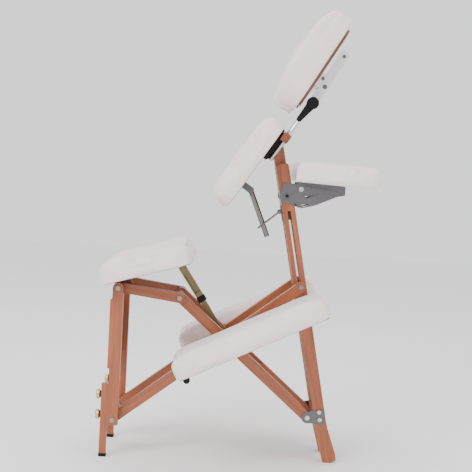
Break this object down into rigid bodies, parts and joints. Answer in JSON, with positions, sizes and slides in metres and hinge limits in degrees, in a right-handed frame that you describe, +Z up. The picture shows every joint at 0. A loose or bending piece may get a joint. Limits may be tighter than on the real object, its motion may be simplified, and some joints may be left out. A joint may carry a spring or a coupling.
{
  "type": "kneeling massage chair",
  "caption": "Folding wooden kneeling massage chair with padded seat, knee rests, chest rest, armrest and tilting face cradle.",
  "frame": {"origin": "floor level, centred under the whole chair", "axes": "+X forward, the way the sitter faces; +Y to the sitter's left; +Z up"},
  "size_m": [0.7046, 0.583, 1.1958],
  "materials": {
    "beech": "beech, clear varnish",
    "dark_wood": "dark plywood",
    "vinyl": "off-white vinyl upholstery",
    "steel": "plain steel",
    "grey_steel": "grey plated steel",
    "chrome": "polished chrome",
    "brass": "satin brass",
    "old_brass": "darkened brass",
    "black_plastic": "matt black",
    "rubber": "black rubber",
    "light_panel": "pale plywood"
  },
  "bodies": {
    "front_frame": {"post_board_left": "beech", "post_board_right": "beech", "mast": "beech", "leg_cheek_left": "beech", "leg_cheek_right": "beech", "hinge_plate_left": "grey_steel", "hinge_plate_right": "grey_steel", "armrest_bracket_left": "grey_steel", "armrest_bracket_right": "grey_steel", "knee_stop_bar": "chrome", "bail_bracket": "grey_steel"},
    "cross_beams": {"cross_beam_left": "beech", "cross_beam_right": "beech", "cross_beam_tie": "beech", "rail_bolts": "steel"},
    "floor_beams": {"floor_beam_left": "beech", "floor_beam_right": "beech", "scissor_axle": "steel", "knee_rod": "chrome", "slide_bolts": "steel", "knee_board_left": "beech", "knee_board_right": "beech", "knee_pad_left": "vinyl", "knee_pad_right": "vinyl"},
    "rear_legs": {"rear_post_left": "beech", "rear_post_right": "beech", "back_panel": "light_panel", "rear_leg_bolts": "steel"},
    "extension_left": {"leg_extension_left": "beech", "rubber_foot_left": "rubber"},
    "extension_right": {"leg_extension_right": "beech", "rubber_foot_right": "rubber"},
    "knob_1": {"clamp_knob_1": "brass"},
    "knob_2": {"clamp_knob_2": "brass"},
    "knob_3": {"clamp_knob_3": "brass"},
    "knob_4": {"clamp_knob_4": "brass"},
    "seat_rails": {"seat_rail_left": "beech", "seat_rail_right": "beech"},
    "seat": {"seat_hinge_rod": "steel", "seat_pad": "vinyl", "seat_board": "dark_wood", "strut_clevis": "old_brass"},
    "strut_base": {"strut_foot": "old_brass"},
    "strut_bar": {"strut_lower": "old_brass"},
    "strut_channel": {"strut_upper": "old_brass"},
    "chest": {"chest_pad": "vinyl", "chest_board": "dark_wood", "chest_crossbar": "beech", "prong_guides": "black_plastic", "chest_hardware": "grey_steel"},
    "tube": {"ratchet_tube": "chrome"},
    "bail": {"bail_wire": "chrome"},
    "headrest": {"prongs": "chrome"},
    "lever": {"cam_lever": "black_plastic"},
    "head_link": {"head_arms": "grey_steel"},
    "cradle": {"cradle_bracket": "grey_steel", "cradle_board": "dark_wood", "face_cushion": "vinyl"},
    "armrest": {"armrest_pad": "vinyl", "armrest_channel": "grey_steel"}
  },
  "joints": [
    {"name": "frame_fold", "type": "hinge", "parent": "cross_beams", "child": "floor_beams", "pos_m": [-0.018, 0, 0.31707], "axis": [0, -1, 0], "range_deg": [0, 68]},
    {"name": "cross_beam_fold", "type": "hinge", "parent": "front_frame", "child": "cross_beams", "pos_m": [0.212, 0, 0.119], "axis": [0, -1, 0], "range_deg": [-27.1, 0]},
    {"name": "rear_leg_fold", "type": "hinge", "parent": "floor_beams", "child": "rear_legs", "pos_m": [-0.3, 0, 0.098], "axis": [0, -1, 0], "range_deg": [-37.1, 0]},
    {"name": "seat_rail_fold", "type": "hinge", "parent": "cross_beams", "child": "seat_rails", "pos_m": [-0.141, 0, 0.423], "axis": [0, -1, 0], "range_deg": [0, 112]},
    {"name": "strut_foot_turn", "type": "hinge", "parent": "cross_beams", "child": "strut_base", "pos_m": [-0.018, 0, 0.31707], "axis": [0, -1, 0], "range_deg": [0, 33]},
    {"name": "seat_tilt", "type": "hinge", "parent": "seat_rails", "child": "seat", "pos_m": [-0.3, 0, 0.444], "axis": [0, -1, 0], "range_deg": [-24, 0]},
    {"name": "strut_swing", "type": "hinge", "parent": "strut_base", "child": "strut_bar", "pos_m": [-0.018, 0, 0.31707], "axis": [0, -1, 0], "range_deg": [0, 12.4]},
    {"name": "strut_slide", "type": "slide", "parent": "strut_bar", "child": "strut_channel", "axis": [-0.5647, 0, 0.8253], "range_m": [-0.0579, 0]},
    {"name": "chest_tilt", "type": "hinge", "parent": "front_frame", "child": "chest", "pos_m": [0.0993, 0, 0.826], "axis": [0, -1, 0], "range_deg": [-8, 10]},
    {"name": "tube_swing", "type": "hinge", "parent": "chest", "child": "tube", "pos_m": [0.0316, 0, 0.7137], "axis": [0, -1, 0], "range_deg": [-18.2, 14.6]},
    {"name": "bail_lift", "type": "hinge", "parent": "front_frame", "child": "bail", "pos_m": [0.112, 0, 0.6594], "axis": [0, -1, 0], "range_deg": [-34, 0]},
    {"name": "headrest_slide", "type": "slide", "parent": "chest", "child": "headrest", "axis": [0.5446, 0, 0.8387], "range_m": [-0.02, 0.05]},
    {"name": "cam_lever_turn", "type": "hinge", "parent": "headrest", "child": "lever", "pos_m": [0.1805, 0, 0.9498], "axis": [0, -1, 0], "range_deg": [0, 90]},
    {"name": "head_tilt", "type": "hinge", "parent": "headrest", "child": "head_link", "pos_m": [0.1805, 0, 0.9498], "axis": [0, -1, 0], "range_deg": [-30, 12]},
    {"name": "cradle_tilt", "type": "hinge", "parent": "head_link", "child": "cradle", "pos_m": [0.2102, 0, 0.9945], "axis": [0, -1, 0], "range_deg": [-25, 4]},
    {"name": "armrest_tilt", "type": "hinge", "parent": "front_frame", "child": "armrest", "pos_m": [0.1636, 0, 0.7232], "axis": [0, -1, 0], "range_deg": [-4, 12]},
    {"name": "leg_extension_left_slide", "type": "slide", "parent": "rear_legs", "child": "extension_left", "axis": [0, 0, 1], "range_m": [-0.012, 0.038]},
    {"name": "leg_extension_right_slide", "type": "slide", "parent": "rear_legs", "child": "extension_right", "axis": [0, 0, 1], "range_m": [-0.012, 0.038]},
    {"name": "clamp_knob_1_turn", "type": "hinge", "parent": "rear_legs", "child": "knob_1", "pos_m": [-0.3, 0.1005, 0.1636], "axis": [1, 0, 0], "continuous": true},
    {"name": "clamp_knob_2_turn", "type": "hinge", "parent": "rear_legs", "child": "knob_2", "pos_m": [-0.3, 0.1005, 0.1101], "axis": [1, 0, 0], "continuous": true},
    {"name": "clamp_knob_3_turn", "type": "hinge", "parent": "rear_legs", "child": "knob_3", "pos_m": [-0.3, -0.1005, 0.1636], "axis": [1, 0, 0], "continuous": true},
    {"name": "clamp_knob_4_turn", "type": "hinge", "parent": "rear_legs", "child": "knob_4", "pos_m": [-0.3, -0.1005, 0.1101], "axis": [1, 0, 0], "continuous": true}
  ],
  "couplings": [
    {"joint": "cross_beam_fold", "follows": "frame_fold", "ratio": -0.391},
    {"joint": "rear_leg_fold", "follows": "frame_fold", "ratio": -0.538},
    {"joint": "seat_rail_fold", "follows": "frame_fold", "ratio": 1.637},
    {"joint": "strut_foot_turn", "follows": "frame_fold", "ratio": 0.479},
    {"joint": "strut_swing", "follows": "seat_tilt", "ratio": -0.508},
    {"joint": "strut_slide", "follows": "seat_tilt", "m_per_rad": 0.1377},
    {"joint": "tube_swing", "follows": "chest_tilt", "ratio": -1.8}
  ]
}
